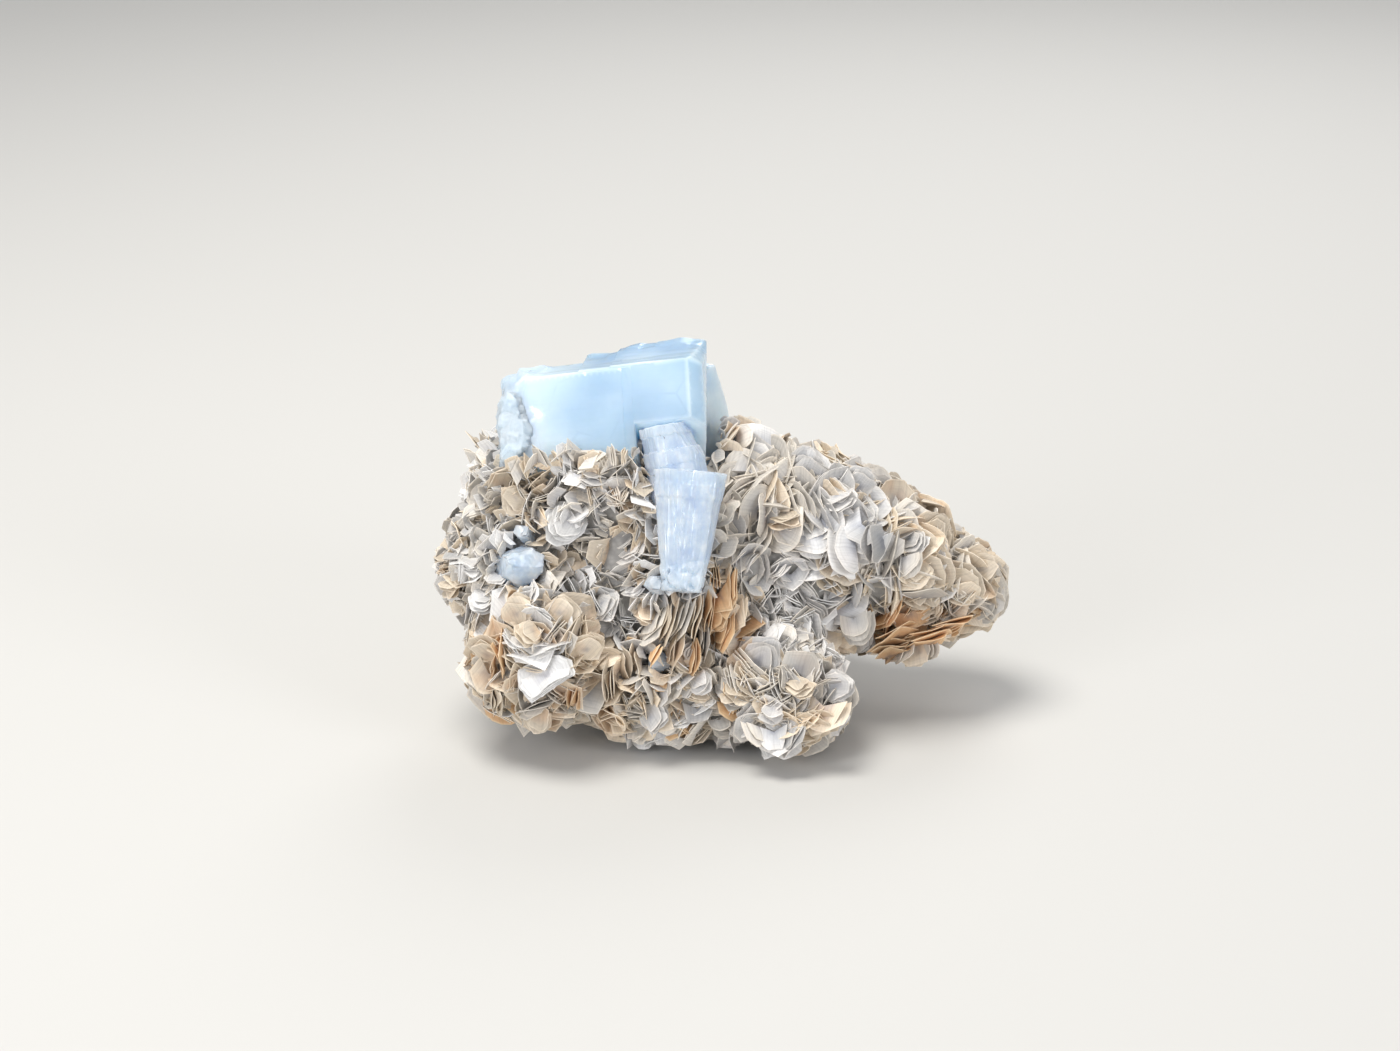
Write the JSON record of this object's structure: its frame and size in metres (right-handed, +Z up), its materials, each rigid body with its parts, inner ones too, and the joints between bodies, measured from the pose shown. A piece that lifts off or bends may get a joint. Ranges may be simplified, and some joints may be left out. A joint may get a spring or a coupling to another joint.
{
  "type": "aquamarine specimen on mica matrix",
  "caption": "Natural aquamarine crystal cluster lying across a rosette matrix of thin muscovite mica plates, with a sugary albite crust at its broken end.",
  "frame": {"origin": "centre of the bounding box, on the surface that the specimen rests on", "axes": "+X along the longest side, towards the narrow right end; +Z up; the front, with the crystals, faces -Y"},
  "size_m": [0.1407, 0.0927, 0.093],
  "materials": {
    "ground_mica": "satin",
    "blue_beryl": "clear",
    "pale_beryl": "frosted",
    "albite": "matte",
    "silver_mica": "pearly",
    "buff_mica": "pearly",
    "white_mica": "pearly",
    "rusty_mica": "matte"
  },
  "bodies": {
    "root": {"albite_crust": "albite", "aquamarine_chip_lower": "pale_beryl", "aquamarine_chip_upper": "pale_beryl", "aquamarine_cluster": "blue_beryl", "aquamarine_recess": "pale_beryl", "aquamarine_stub": "pale_beryl", "mica_book_01": "silver_mica", "mica_book_02": "silver_mica", "mica_book_03": "silver_mica", "mica_book_04": "buff_mica", "mica_book_05": "buff_mica", "mica_book_06": "buff_mica", "mica_book_07": "silver_mica", "mica_book_08": "buff_mica", "mica_book_09": "buff_mica", "mica_book_10": "buff_mica", "mica_book_11": "rusty_mica", "mica_book_12": "rusty_mica", "mica_book_13": "white_mica", "mica_book_14": "silver_mica", "mica_book_15": "buff_mica", "mica_book_16": "buff_mica", "mica_book_17": "white_mica", "mica_book_18": "silver_mica", "mica_book_19": "buff_mica", "mica_book_20": "silver_mica", "mica_book_21": "buff_mica", "mica_book_22": "silver_mica", "mica_book_23": "silver_mica", "mica_book_24": "silver_mica", "mica_book_25": "rusty_mica", "mica_book_26": "rusty_mica", "mica_book_27": "silver_mica", "mica_book_28": "buff_mica", "mica_book_29": "silver_mica", "mica_book_30": "white_mica", "mica_book_31": "buff_mica", "mica_book_32": "buff_mica", "mica_book_33": "buff_mica", "mica_book_34": "buff_mica", "mica_book_35": "buff_mica", "mica_book_36": "buff_mica", "mica_book_37": "rusty_mica", "mica_book_38": "buff_mica", "mica_book_39": "buff_mica", "mica_book_40": "white_mica", "mica_book_41": "buff_mica", "mica_book_42": "white_mica", "mica_book_43": "white_mica", "mica_book_44": "buff_mica", "mica_book_45": "white_mica", "mica_book_46": "silver_mica", "mica_book_47": "buff_mica", "mica_book_48": "silver_mica", "mica_book_49": "silver_mica", "mica_book_50": "buff_mica", "mica_book_51": "rusty_mica", "mica_book_52": "buff_mica", "mica_matrix": "ground_mica"}
  },
  "joints": []
}
